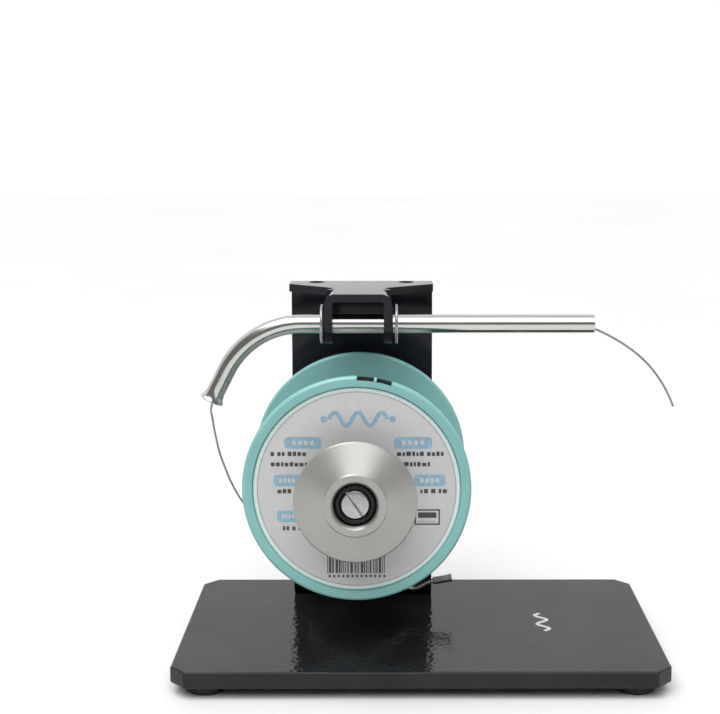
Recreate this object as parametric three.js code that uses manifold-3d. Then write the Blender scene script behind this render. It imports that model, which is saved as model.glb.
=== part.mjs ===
// Bench solder-wire dispenser: a heavy base plate, a bent-sheet upright, a plastic wire spool held
// between two centring cones on a fixed axle, a bent guide tube in two bushes, a wire-form spool
// brake, and the solder wire that runs from the spool through the tube.
// Millimetres, +Z up, +X to the right, +Y to the back. The origin is on the bench, under the middle
// of the dispenser.
import * as THREE from "three";
import { mergeVertices } from "three/addons/utils/BufferGeometryUtils.js";
import Module from "manifold-3d";

const wasm = await Module();
wasm.setup();

// ---------------------------------------------------------------- driving dimensions
const GAP = 0.05; // between flat faces that rest on each other
const FIT = 0.25; // radial clearance of running and seated round fits

const FOOT_H = 4.0, FOOT_R = 7.9, FOOT_X = 75.6, FOOT_INSET = 11;
const BASE_W = 175.2, BASE_T = 6.1, BASE_Y0 = -42.05, BASE_Y1 = 50.15, BASE_CUT = 5.5;
const BASE_TOP = FOOT_H + BASE_T;

const UPRIGHT_X = -21.9; // centre of the upright
const SHEET = 2.9, UPRIGHT_W = 54.8, PLATE_Y0 = 31.55, PLATE_Y1 = PLATE_Y0 + SHEET;
const BEND_OUT = 4.3, BEND_IN = 1.4;
const TOP_Z = BASE_TOP + 127.1, FLANGE_REAR = 47.9;
const TONGUE_Y0 = -9.25, EAR_Y1 = 3.75, NECK_Y = 8.6, SHOULDER_Y = 20.45, NECK_HALF = 9.4;
const EAR_X = -0.45, EAR_HALF = 12.2, EAR_END_R = 6.5; // the tongue and ears sit a little left of the upright's centre
const RING_LEFT_X = -36.1, RING_RIGHT_X = -9.0, RING_T = 1.0, RING_R = 7.2;
const STACK_HOLE_R = 3.0, STACK_HOLE_X = 17.2, STACK_HOLE_Y = 26.5;
const SCREW_X = 18, SCREW_Y = 42.6;

const AXLE_X = -22.4, AXIS_Z = BASE_TOP + 61.4; // spool axis
const AXLE_R = 5, AXLE_Y0 = -49.05, STUD_R = 3;
const SPOOL_R = 40, FLANGE_T = 3, SPOOL_Y0 = -30.85, SPOOL_Y1 = 18.35;
const BORE_R = 11, CORE_R = 21.6, WIND_R = 27.6, LABEL_R = 35.0, RECESS_R = 36.4, RECESS = 0.8;
const SEAT_FRONT = 19.3, SEAT_REAR = 12.3; // from a cone's boss face to the spool face it centres
const CONE_FRONT_Y = SPOOL_Y0 - SEAT_FRONT, CONE_REAR_Y = SPOOL_Y1 + SEAT_REAR;

const TUBE_Y = -2.75, TUBE_Z = BASE_TOP + 115.4, TUBE_R = 3.45, TUBE_BORE = 2.65;
const TUBE_X1 = 63.5, BEND_X = -42.65, BEND_R = 31.45, BEND_ANGLE = (63.4 * Math.PI) / 180;
const MOUTH_STRAIGHT = 12.15, MOUTH_LEN = 4.2, MOUTH_R = 4.55;
const GROMMET_R = 6.0, GROMMET_WALL = 0.35;

const WIRE_R = 0.4;
const ARM_Y = SPOOL_Y1 - 1.5, ARM_R = 0.8, PIVOT_X = -41, PIVOT_Z = 22.5;

// ---------------------------------------------------------------- helpers
const solid = (geometry) => {
  const g = (geometry.index ? geometry.toNonIndexed() : geometry.clone());
  for (const k of Object.keys(g.attributes)) if (k !== "position") g.deleteAttribute(k);
  const m = mergeVertices(g, 1e-4);
  const tri = new Uint32Array(m.index.array);
  const make = () => new wasm.Manifold(new wasm.Mesh({ numProp: 3, vertProperties: m.attributes.position.array, triVerts: tri }));
  let s = make();
  if (s.volume() < 0) {
    for (let i = 0; i < tri.length; i += 3) [tri[i + 1], tri[i + 2]] = [tri[i + 2], tri[i + 1]];
    s = make();
  }
  return s;
};
const geometryOf = (s) => {
  const m = s.getMesh(), n = m.numProp, v = new Float32Array(m.numVert * 3);
  for (let i = 0; i < m.numVert; i++) v.set(m.vertProperties.subarray(i * n, i * n + 3), i * 3);
  const g = new THREE.BufferGeometry().setAttribute("position", new THREE.BufferAttribute(v, 3)).setIndex(new THREE.BufferAttribute(m.triVerts, 1));
  g.computeVertexNormals();
  return g;
};
const shapeOf = (pts) => new THREE.Shape(pts.map(([x, y]) => new THREE.Vector2(x, y)));
const ring = (r, n, phase = 0, cx = 0, cy = 0) =>
  Array.from({ length: n }, (_, i) => [cx + r * Math.cos(phase + (2 * Math.PI * i) / n), cy + r * Math.sin(phase + (2 * Math.PI * i) / n)]);
// Extrusions of a flat outline: along Z, along X (outline in Y,Z) and along Y (outline in X,Z).
const alongZ = (shape, z0, z1) => new THREE.ExtrudeGeometry(shape, { depth: z1 - z0, bevelEnabled: false, curveSegments: 10 }).translate(0, 0, z0);
const alongX = (shape, x0, x1) =>
  new THREE.ExtrudeGeometry(shape, { depth: x1 - x0, bevelEnabled: false, curveSegments: 8 })
    .applyMatrix4(new THREE.Matrix4().makeBasis(new THREE.Vector3(0, 1, 0), new THREE.Vector3(0, 0, 1), new THREE.Vector3(1, 0, 0)))
    .translate(x0, 0, 0);
const alongY = (shape, y0, y1) =>
  new THREE.ExtrudeGeometry(shape, { depth: y1 - y0, bevelEnabled: false, curveSegments: 8 }).rotateX(Math.PI / 2).translate(0, y1, 0);
// A turned piece about the Y axis from [radius, y] pairs. A profile off the axis closes on itself.
const turned = (pts, segments = 32) => {
  const p = pts.map(([r, y]) => new THREE.Vector2(r, y));
  if (pts[0][0] > 0) p.push(p[0].clone());
  return new THREE.LatheGeometry(p, segments);
};
const turnedZ = (pts, segments = 32) => turned(pts, segments).rotateX(Math.PI / 2); // y of the profile becomes z
const turnedX = (pts, segments = 32) => turned(pts, segments).rotateZ(-Math.PI / 2); // y of the profile becomes x
const washer = (r0, r1, y0, y1) => [[r0, y0], [r1, y0], [r1, y1], [r0, y1]];
const cut = (a, ...more) => more.reduce((s, b) => s.subtract(b), a);
const join = (a, ...more) => more.reduce((s, b) => s.add(b), a);

// ---------------------------------------------------------------- materials
const mat = (color, roughness, metalness) => new THREE.MeshStandardMaterial({ color, roughness, metalness });
const M = {
  base: mat(0x17181a, 0.32, 0.3), bracket: mat(0x141519, 0.38, 0.3), rubber: mat(0x0d0d0d, 0.85, 0),
  teal: mat(0x8fcac6, 0.42, 0), label: mat(0xd9d9dc, 0.6, 0), cone: mat(0xc9c9c4, 0.5, 0),
  black: mat(0x111111, 0.5, 0), steel: mat(0xb8b8b4, 0.25, 1), tube: mat(0xc8c6be, 0.12, 1),
  zinc: mat(0xa8aab0, 0.35, 1), solder: mat(0x9d9d9c, 0.35, 1),
};
const dispenser = new THREE.Group();
const put = (parent, name, geometry, material, x = 0, y = 0, z = 0) => {
  const m = new THREE.Mesh(geometry, material);
  m.name = name;
  m.position.set(x, y, z);
  parent.add(m);
  return m;
};
const group = (x, y, z) => {
  const g = new THREE.Group();
  g.position.set(x, y, z);
  dispenser.add(g);
  return g;
};

// ---------------------------------------------------------------- base plate and feet
const stand = group(0, 0, 0);
{
  const hx = BASE_W / 2, c = BASE_CUT;
  const outline = [
    [-hx + c, BASE_Y0], [hx - c, BASE_Y0], [hx, BASE_Y0 + c], [hx, BASE_Y1 - c],
    [hx - c, BASE_Y1], [-hx + c, BASE_Y1], [-hx, BASE_Y1 - c], [-hx, BASE_Y0 + c],
  ];
  const edge = 0.7;
  const slab = new THREE.ExtrudeGeometry(shapeOf(outline), {
    depth: BASE_T - 2 * edge, bevelEnabled: true, bevelThickness: edge, bevelSize: edge, bevelOffset: -edge, bevelSegments: 2,
  }).translate(0, 0, FOOT_H + edge);
  const tapped = (x) => solid(alongZ(shapeOf(ring(2 + FIT, 16, 0, x, SCREW_Y)), FOOT_H - 1, BASE_TOP + 1));
  put(stand, "base_plate", geometryOf(cut(solid(slab), tapped(UPRIGHT_X - SCREW_X), tapped(UPRIGHT_X + SCREW_X))), M.base);

  const foot = turnedZ([[0, 0], [FOOT_R - 0.9, 0], [FOOT_R - 0.4, 0.4], [FOOT_R, FOOT_H - GAP], [0, FOOT_H - GAP]], 28);
  for (const [name, x, y] of [
    ["foot_front_left", -FOOT_X, BASE_Y0 + FOOT_INSET], ["foot_front_right", FOOT_X, BASE_Y0 + FOOT_INSET],
    ["foot_rear_left", -FOOT_X, BASE_Y1 - FOOT_INSET], ["foot_rear_right", FOOT_X, BASE_Y1 - FOOT_INSET],
  ]) put(stand, name, geometryOf(solid(foot)), M.rubber, x, y, 0);
}

// ---------------------------------------------------------------- upright: one bent sheet
{
  const z0 = BASE_TOP + GAP, s = new THREE.Shape();
  // side profile: foot flange to the back, plate, top flange to the front
  s.moveTo(FLANGE_REAR, z0);
  s.lineTo(FLANGE_REAR, z0 + SHEET);
  s.lineTo(PLATE_Y1 + BEND_IN, z0 + SHEET);
  s.absarc(PLATE_Y1 + BEND_IN, z0 + SHEET + BEND_IN, BEND_IN, -Math.PI / 2, Math.PI, true);
  s.lineTo(PLATE_Y1, TOP_Z - BEND_OUT);
  s.absarc(PLATE_Y1 - BEND_OUT, TOP_Z - BEND_OUT, BEND_OUT, 0, Math.PI / 2, false);
  s.lineTo(EAR_Y1 - 0.5, TOP_Z);
  s.lineTo(EAR_Y1 - 0.5, TOP_Z - SHEET);
  s.lineTo(PLATE_Y0 - BEND_IN, TOP_Z - SHEET);
  s.absarc(PLATE_Y0 - BEND_IN, TOP_Z - SHEET - BEND_IN, BEND_IN, Math.PI / 2, 0, true);
  s.lineTo(PLATE_Y0, z0 + BEND_OUT);
  s.absarc(PLATE_Y0 + BEND_OUT, z0 + BEND_OUT, BEND_OUT, Math.PI, 1.5 * Math.PI, false);
  s.closePath();
  let bracket = solid(alongX(s, -UPRIGHT_W / 2, UPRIGHT_W / 2));
  // plan of the top flange: full width at the back, slanting in to a neck behind the ears
  for (const k of [-1, 1]) {
    const side = [
      [40, SHOULDER_Y], [UPRIGHT_W / 2 + 0.5, SHOULDER_Y], [UPRIGHT_W / 2 - 1.2, SHOULDER_Y - 0.5], [NECK_HALF + 1.4, NECK_Y + 1.0],
      [NECK_HALF + 0.4, NECK_Y], [NECK_HALF, NECK_Y - 1.2], [NECK_HALF + 0.5, NECK_Y - 2.2], [EAR_HALF - 0.4, EAR_Y1 - 0.1], [EAR_HALF, EAR_Y1 - 1.2], [EAR_HALF, -20], [40, -20],
    ].map(([x, y], i) => [k * x + (i > 2 ? EAR_X : 0), y]);
    bracket = bracket.subtract(solid(alongZ(shapeOf(k > 0 ? side : side.reverse()), TOP_Z - 9, TOP_Z + 3)));
  }
  // the ears: a downward channel at the front of the tongue, with round ends about the guide tube
  const w = EAR_HALF, t = SHEET, ro = 3.8, ri = 0.8, low = TUBE_Z - 12, u = new THREE.Shape();
  u.moveTo(-w, low);
  u.lineTo(-w + t, low);
  u.lineTo(-w + t, TOP_Z - t - ri);
  u.absarc(-w + t + ri, TOP_Z - t - ri, ri, Math.PI, Math.PI / 2, true);
  u.lineTo(w - t - ri, TOP_Z - t);
  u.absarc(w - t - ri, TOP_Z - t - ri, ri, Math.PI / 2, 0, true);
  u.lineTo(w - t, low);
  u.lineTo(w, low);
  u.lineTo(w, TOP_Z - ro);
  u.absarc(w - ro, TOP_Z - ro, ro, 0, Math.PI / 2, false);
  u.lineTo(-w + ro, TOP_Z);
  u.absarc(-w + ro, TOP_Z - ro, ro, Math.PI / 2, Math.PI, false);
  u.closePath();
  const end = new THREE.Shape(), ez = TUBE_Z - 0.6;
  end.moveTo(TONGUE_Y0, TOP_Z + 5);
  end.lineTo(TONGUE_Y0, ez);
  end.absarc((TONGUE_Y0 + EAR_Y1) / 2, ez, EAR_END_R, Math.PI, 2 * Math.PI, false);
  end.lineTo(EAR_Y1, TOP_Z + 5);
  end.closePath();
  let ears = solid(alongY(u, TONGUE_Y0 - 1, EAR_Y1 + 1).translate(EAR_X, 0, 0)).intersect(solid(alongX(end, -30, 30)));
  ears = ears.subtract(solid(alongX(shapeOf(ring(4.3 + FIT, 32, 0, TUBE_Y, TUBE_Z)), -30, 30)));
  bracket = bracket.add(ears);
  // holes: two in the top flange, two in the foot flange, the axle stud and the brake pivot in the plate
  const bore = (x, y, r, z) => solid(alongZ(shapeOf(ring(r, 24, 0, x, y)), z - 6, z + 6));
  bracket = cut(
    bracket,
    bore(-STACK_HOLE_X, STACK_HOLE_Y, STACK_HOLE_R, TOP_Z), bore(STACK_HOLE_X, STACK_HOLE_Y, STACK_HOLE_R, TOP_Z),
    bore(-SCREW_X, SCREW_Y, 2.4, z0), bore(SCREW_X, SCREW_Y, 2.4, z0),
    solid(alongY(shapeOf(ring(STUD_R + FIT, 24, 0, AXLE_X - UPRIGHT_X, AXIS_Z)), PLATE_Y0 - 2, PLATE_Y1 + 2)),
    solid(alongY(shapeOf(ring(2.45, 24, 0, PIVOT_X - UPRIGHT_X, PIVOT_Z)), PLATE_Y0 - 2, PLATE_Y1 + 2)),
  );
  put(stand, "upright_bracket", geometryOf(bracket), M.bracket, UPRIGHT_X, 0, 0);

  // two pan-head screws with washers hold the foot flange down
  const zw = z0 + SHEET + GAP, zh = zw + 0.8 + GAP;
  const screw = solid(turnedZ([[0, 4.6], [1.4, 4.6], [2, 5.2], [2, zh], [3.9, zh], [3.9, zh + 1.1], [3.4, zh + 2.0], [2.4, zh + 2.5], [0, zh + 2.6]], 24));
  const arm = (a) => solid(alongZ(shapeOf([[-2.1, -0.4], [2.1, -0.4], [2.1, 0.4], [-2.1, 0.4]].map(([x, y]) => [x * Math.cos(a) - y * Math.sin(a), x * Math.sin(a) + y * Math.cos(a)])), zh + 1.0, zh + 4));
  const cross = geometryOf(cut(screw, arm(0.5), arm(0.5 + Math.PI / 2)));
  for (const [side, k] of [["left", -1], ["right", 1]]) {
    put(stand, "bracket_washer_" + side, geometryOf(solid(turnedZ(washer(2.3, 4.6, 0, 0.8), 24))), M.zinc, UPRIGHT_X + k * SCREW_X, SCREW_Y, zw);
    put(stand, "bracket_screw_" + side, cross, M.zinc, UPRIGHT_X + k * SCREW_X, SCREW_Y, 0);
  }
}

// ---------------------------------------------------------------- axle, fixed to the upright
const axleGroup = group(AXLE_X, 0, AXIS_Z);
{
  const y1 = PLATE_Y0 - GAP;
  let axle = solid(turned([[0, AXLE_Y0], [AXLE_R - 0.85, AXLE_Y0], [AXLE_R, AXLE_Y0 + 0.85], [AXLE_R, y1], [STUD_R, y1], [STUD_R, PLATE_Y1 + 8.2], [STUD_R - 0.6, PLATE_Y1 + 8.8], [0, PLATE_Y1 + 8.8]], 36));
  const a = (-55.6 * Math.PI) / 180;
  const slot = [[-7, -0.5], [7, -0.5], [7, 0.5], [-7, 0.5]].map(([x, z]) => [x * Math.cos(a) - z * Math.sin(a), x * Math.sin(a) + z * Math.cos(a)]);
  axle = axle.subtract(solid(alongY(shapeOf(slot), AXLE_Y0 - 1, AXLE_Y0 + 1.6)));
  put(axleGroup, "axle_shaft", geometryOf(axle), M.steel);
  put(axleGroup, "axle_thrust_washer", geometryOf(solid(turned(washer(AXLE_R + FIT, 9, 0, 0.6), 32))), M.steel, 0, CONE_REAR_Y + 0.12, 0);
  put(axleGroup, "axle_lock_washer", geometryOf(solid(turned(washer(STUD_R + FIT, 6, 0, 1.2), 28))), M.zinc, 0, PLATE_Y1 + GAP, 0);
  const nut = cut(
    solid(alongY(shapeOf(ring(5.77, 6, Math.PI / 6)), 0, 5)).intersect(solid(turned([[0, 0], [5.2, 0], [5.85, 0.6], [5.85, 4.4], [5.2, 5], [0, 5]], 36))),
    solid(alongY(shapeOf(ring(STUD_R + FIT, 24)), -1, 6)),
  );
  put(axleGroup, "axle_nut", geometryOf(nut), M.zinc, 0, PLATE_Y1 + 1.2 + 3 * GAP, 0);
}

// ---------------------------------------------------------------- centring cones
// Profiles run from the boss face (s = 0) towards the spool. The rear cone is the shallower one.
const frontProfile = [
  [7.0, 2.2], [7.6, 1.0], [8.6, 0], [10.2, 0], [10.8, 0.5], [14.0, 1.65], [17.0, 2.75], [20.4, 3.95], [21.0, 4.5], [20.7, 5.5],
  [BORE_R - 0.15, SEAT_FRONT], [8.2, 22.6], [6.3 + FIT, 22.6], [6.3 + FIT, 3.2], [7.0, 3.2],
];
const rearProfile = [
  [6.3 + FIT, 0], [9.2, 0], [9.7, 0.5], [20.2, 1.0], [21.0, 1.6], [20.7, 2.4],
  [BORE_R - 0.15, SEAT_REAR], [8.2, 15.5], [6.3 + FIT, 15.5],
];
const bushProfile = (s0, s1) => [[AXLE_R + FIT, s0], [6.3, s0], [6.3, s1], [AXLE_R + FIT, s1]];
const rotor = group(AXLE_X, 0, AXIS_Z);
const frontCone = group(AXLE_X, 0, AXIS_Z);
{
  put(frontCone, "front_cone", geometryOf(solid(turned(frontProfile, 36))), M.cone, 0, CONE_FRONT_Y, 0);
  put(frontCone, "front_cone_bush", geometryOf(solid(turned(bushProfile(3.4, 22.5), 28))), M.black, 0, CONE_FRONT_Y, 0);
  put(frontCone, "front_cone_grip_ring", geometryOf(solid(turned(ring(0.75, 8, Math.PI / 8, AXLE_R + FIT + 0.75, 2.35), 28))), M.rubber, 0, CONE_FRONT_Y, 0);
  const back = (p) => p.map(([r, s]) => [r, -s]);
  put(rotor, "rear_cone", geometryOf(solid(turned(back(rearProfile), 36))), M.cone, 0, CONE_REAR_Y, 0);
  put(rotor, "rear_cone_bush", geometryOf(solid(turned(back(bushProfile(0.2, 15.3)), 28))), M.black, 0, CONE_REAR_Y, 0);
}

// ---------------------------------------------------------------- spool
{
  // a flange, from its outer face (s = 0) to its inner face (s = FLANGE_T)
  const flange = [
    [BORE_R, 0], [13.4, 0], [13.6, RECESS], [RECESS_R - 0.2, RECESS], [RECESS_R + 0.1, 0], [39.2, 0], [SPOOL_R, 0.7],
    [SPOOL_R, 2.3], [39.3, FLANGE_T], [22.6, FLANGE_T], [22.6, FLANGE_T - 0.9], [BORE_R, FLANGE_T - 0.9],
  ];
  let front = solid(turned(flange, 60));
  for (const [a, half] of [[4.6, 4.4], [14.2, 4.0]]) {
    // two notches in the rim that hold the wire's cut end
    const c = ((90 - a) * Math.PI) / 180, h = (half * Math.PI) / 180;
    const pts = [[38.5, c - h], [41.5, c - h], [41.5, c + h], [38.5, c + h]].map(([r, t]) => [r * Math.cos(t), r * Math.sin(t)]);
    front = front.subtract(solid(alongY(shapeOf(pts), -1, FLANGE_T + 1)));
  }
  put(rotor, "spool_flange_front", geometryOf(front), M.teal, 0, SPOOL_Y0, 0);
  put(rotor, "spool_flange_rear", geometryOf(solid(turned(flange.map(([r, s]) => [r, -s]), 60))), M.teal, 0, SPOOL_Y1, 0);

  // the core: barrel, bore tube and six webs between them, seated in both flanges
  const y0 = SPOOL_Y0 + FLANGE_T - 0.9 + GAP, y1 = SPOOL_Y1 - FLANGE_T + 0.9 - GAP;
  let core = join(
    solid(turned(washer(CORE_R - 2.2, CORE_R, y0, y1), 40)),
    solid(turned([[BORE_R + 0.1, y0], [BORE_R + 1.6, y0], [BORE_R + 1.6, y1], [BORE_R + 0.1, y1]], 30)),
  );
  for (let i = 0; i < 6; i++) {
    const a = (i * Math.PI) / 3, web = [[BORE_R + 1, -0.7], [CORE_R - 1, -0.7], [CORE_R - 1, 0.7], [BORE_R + 1, 0.7]].map(([x, z]) => [x * Math.cos(a) - z * Math.sin(a), x * Math.sin(a) + z * Math.cos(a)]);
    core = core.add(solid(alongY(shapeOf(web), y0 + 1.5, y1 - 1.5)));
  }
  put(rotor, "spool_core", geometryOf(core), M.teal);

  const face = SPOOL_Y0 + RECESS;
  put(rotor, "spool_label", geometryOf(solid(turned(washer(14.2, LABEL_R, face - 0.2, face - 0.03), 60))), M.label);
  put(rotor, "solder_winding", geometryOf(solid(turned([
    [CORE_R + 0.3, SPOOL_Y0 + FLANGE_T + 0.3], [WIND_R - 0.5, SPOOL_Y0 + FLANGE_T + 0.3], [WIND_R, SPOOL_Y0 + FLANGE_T + 1.2],
    [WIND_R, SPOOL_Y1 - FLANGE_T - 1.2], [WIND_R - 0.5, SPOOL_Y1 - FLANGE_T - 0.3], [CORE_R + 0.3, SPOOL_Y1 - FLANGE_T - 0.3],
  ], 40))), M.solder);
}

// ---------------------------------------------------------------- guide tube, bushes and retaining rings
class GuidePath extends THREE.Curve {
  // from the open right end, straight to the bend, round it, and straight to the mouth
  constructor(cutEnd = 0) {
    super();
    this.a = TUBE_X1 - BEND_X;
    this.b = BEND_R * BEND_ANGLE;
    this.c = MOUTH_STRAIGHT - cutEnd;
  }
  // the bend takes most of the steps
  getUtoTmapping(u) {
    const total = this.a + this.b + this.c, stops = [[0, 0], [0.22, this.a], [0.84, this.a + this.b], [1, total]];
    for (let i = 1; i < stops.length; i++) {
      const [u0, d0] = stops[i - 1], [u1, d1] = stops[i];
      if (u <= u1 || i === 3) return (d0 + ((d1 - d0) * (u - u0)) / (u1 - u0)) / total;
    }
  }
  getPoint(t, target = new THREE.Vector3()) {
    const d = t * (this.a + this.b + this.c);
    if (d <= this.a) return target.set(TUBE_X1 - d, 0, 0);
    const q = Math.min((d - this.a) / BEND_R, BEND_ANGLE), e = Math.max(0, d - this.a - this.b);
    return target.set(BEND_X - BEND_R * Math.sin(q) - e * Math.cos(BEND_ANGLE), 0, -BEND_R * (1 - Math.cos(q)) - e * Math.sin(BEND_ANGLE));
  }
}
const tubeGroup = group(0, TUBE_Y, TUBE_Z);
{
  const annulus = shapeOf(ring(TUBE_R, 20));
  annulus.holes.push(new THREE.Path(ring(TUBE_BORE, 20).map(([x, y]) => new THREE.Vector2(x, y))));
  let tube = solid(new THREE.ExtrudeGeometry(annulus, { steps: 19, bevelEnabled: false, extrudePath: new GuidePath(MOUTH_LEN - 0.2) }));
  // the mouth flares like a bell and has a rolled lip
  const bell = turned([[TUBE_R, 0], [3.55, 1.0], [3.75, 2.2], [4.15, 3.2], [MOUTH_R, 3.8], [MOUTH_R + 0.05, MOUTH_LEN], [4.2, MOUTH_LEN], [3.6, 3.4], [3.1, 2.3], [2.8, 1.1], [TUBE_BORE, 0]], 20);
  const d = new THREE.Vector3(-Math.cos(BEND_ANGLE), 0, -Math.sin(BEND_ANGLE));
  const at = new GuidePath(MOUTH_LEN).getPoint(1);
  bell.applyQuaternion(new THREE.Quaternion().setFromUnitVectors(new THREE.Vector3(0, 1, 0), d)).translate(at.x, at.y, at.z);
  put(tubeGroup, "guide_tube", geometryOf(tube.add(solid(bell))), M.tube);

  // a flanged bush in each ear, its flange outside, and a ring outside each flange
  const w = GROMMET_WALL, t = SHEET, r0 = TUBE_R + FIT;
  const bush = [[r0, -w], [GROMMET_R, -w], [GROMMET_R, -GAP], [4.3, -GAP], [4.3, t - 0.1], [r0, t - 0.1]];
  const grommets = group(UPRIGHT_X + EAR_X, TUBE_Y, TUBE_Z);
  put(grommets, "tube_grommet_left", geometryOf(solid(turnedX(bush, 32))), M.black, -EAR_HALF, 0, 0);
  put(grommets, "tube_grommet_right", geometryOf(solid(turnedX(bush.map(([r, x]) => [r, -x]), 32))), M.black, EAR_HALF, 0, 0);
  const clip = solid(turnedX(washer(TUBE_R + 0.1, RING_R, 0, RING_T), 32));
  put(tubeGroup, "tube_ring_left", geometryOf(clip), M.zinc, RING_LEFT_X, 0, 0);
  put(tubeGroup, "tube_ring_right", geometryOf(clip), M.zinc, RING_RIGHT_X, 0, 0);
}

// ---------------------------------------------------------------- spool brake: a sprung wire arm under the rear flange
const brake = group(0, 0, 0);
{
  const padX = AXLE_X, padZ = AXIS_Z - SPOOL_R - 1.65, y = ARM_Y;
  const arm = new THREE.CatmullRomCurve3(
    [
      [PIVOT_X, PLATE_Y0 + 6.3, PIVOT_Z], [PIVOT_X, PLATE_Y0 + 1, PIVOT_Z], [PIVOT_X, 26, PIVOT_Z], [PIVOT_X, 21, PIVOT_Z], [PIVOT_X, 19.1, PIVOT_Z], [PIVOT_X + 0.7, 17.5, PIVOT_Z + 0.35],
      [PIVOT_X + 2.6, y, PIVOT_Z + 1.3], [PIVOT_X + 7.5, y, PIVOT_Z + 3.7], [padX - 6.3, y, padZ - 1.4], [padX - 3.8, y, padZ - 0.15], [padX - 2, y, padZ], [padX + 2, y, padZ],
      [padX + 3.8, y, padZ - 0.3], [padX + 6.2, y, padZ - 1.7], [padX + 15.5, y, padZ - 9.3], [padX + 18.2, y, padZ - 11.0], [padX + 20.4, y, padZ - 11.5], [padX + 22.6, y, padZ - 10.9],
      [3.7, y, padZ - 9.0], [5.7, y, padZ - 8.45], [8.5, y, padZ - 7.95], [11.6, y, padZ - 7.4],
    ].map((p) => new THREE.Vector3(...p)), false, "centripetal",
  );
  put(brake, "brake_arm", geometryOf(solid(new THREE.ExtrudeGeometry(shapeOf(ring(ARM_R, 6)), { steps: 64, bevelEnabled: false, extrudePath: arm }))), M.zinc);
  put(brake, "brake_pad", geometryOf(solid(turnedX(washer(ARM_R + 0.2, 1.6, -2.0, 2.0), 20))), M.rubber, padX, y, padZ);
  const L = 7.5;
  const ferrule = turnedX([[0, L], [1.4, L], [1.65, L - 0.3], [1.6, L - 1.2], [1.35, 0.4], [1.25, 0], [ARM_R + 0.22, 0], [ARM_R + 0.22, L - 0.5], [0, L - 0.5]], 20).rotateY(-Math.atan2(1.05, 5.9));
  put(brake, "brake_ferrule", geometryOf(solid(ferrule)), M.zinc, 5.7, y, padZ - 8.45);
  put(brake, "brake_clip", geometryOf(solid(turned(washer(ARM_R + 0.2, 3.0, 0, 0.6), 24))), M.zinc, PIVOT_X, PLATE_Y0 + 4.6, PIVOT_Z);
  // root side of the pivot: a flanged bush in the plate and a light torsion spring round the pivot leg
  put(stand, "brake_pivot_bush", geometryOf(solid(turned([[ARM_R + FIT, 0], [3.4, 0], [3.4, 0.9], [2.2, 0.9], [2.2, 5.2], [ARM_R + FIT, 5.2]], 24))), M.black, PIVOT_X, PLATE_Y0 - 0.95, PIVOT_Z);
  class Coil extends THREE.Curve {
    getPoint(t, target = new THREE.Vector3()) {
      const a = t * 5 * 2 * Math.PI;
      return target.set(PIVOT_X + 1.85 * Math.cos(a), PLATE_Y0 - 2.05 - 6.5 * t, PIVOT_Z + 1.85 * Math.sin(a));
    }
  }
  put(stand, "brake_torsion_spring", geometryOf(solid(new THREE.ExtrudeGeometry(shapeOf(ring(0.3, 5)), { steps: 60, bevelEnabled: false, extrudePath: new Coil() }))), M.steel);
}

// ---------------------------------------------------------------- solder wire: off the winding, through the tube, to its free end
{
  const pts = [];
  const r = WIND_R + 0.3 + WIRE_R, t0 = (258 * Math.PI) / 180;
  // the free span: from the underside of the winding, out to the left and up into the mouth (heights above the base plate)
  for (const [x, y, h] of [
    [AXLE_X + r * Math.cos(t0), -6.0, AXIS_Z - BASE_TOP + r * Math.sin(t0)], [-37.0, -5.8, 35.3], [-44.5, -5.5, 36.5], [-51.5, -5.1, 38.4], [-57.5, -4.7, 41.3],
    [-62.3, -4.4, 45.6], [-66.1, -4.1, 50.4], [-69.4, -3.8, 56.4], [-71.8, -3.5, 62.3], [-73.8, -3.2, 68.3], [-75.1, -3.0, 74.3], [-76.1, -2.85, 80.2], [-76.5, -2.78, 84.1],
  ]) pts.push([x, y, BASE_TOP + h]);
  const path = new GuidePath(0), axis = Array.from({ length: 31 }, (_, i) => path.getPoint(i / 30));
  // inside the tube: on its axis through the bend, then lying on the bottom of the straight bore
  for (let i = 28; i >= 0; i--) {
    const p = axis[i], along = (p.x - BEND_X) / 40;
    pts.push([p.x, TUBE_Y, TUBE_Z + p.z - 1.95 * Math.min(1, Math.max(0, along))]);
  }
  for (const [x, h] of [
    [64.8, 113.1], [67.0, 112.05], [69.3, 110.9], [71.5, 109.7], [73.75, 108.3], [76.0, 106.8], [78.25, 105.15], [80.5, 103.3], [82.75, 101.2], [85.0, 98.7],
    [87.2, 95.85], [89.5, 92.3], [91.7, 88.0], [93.1, 84.7],
  ]) pts.push([x, TUBE_Y, BASE_TOP + h]);
  const wire = new THREE.CatmullRomCurve3(pts.map((p) => new THREE.Vector3(...p)), false, "centripetal");
  put(dispenser, "solder_wire", geometryOf(solid(new THREE.ExtrudeGeometry(shapeOf(ring(WIRE_R, 8)), { steps: 80, bevelEnabled: false, extrudePath: wire }))), M.solder);
}

export default dispenser;
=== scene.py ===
import math
import random

import bpy
import numpy as np
from mathutils import Matrix, Quaternion, Vector


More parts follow.
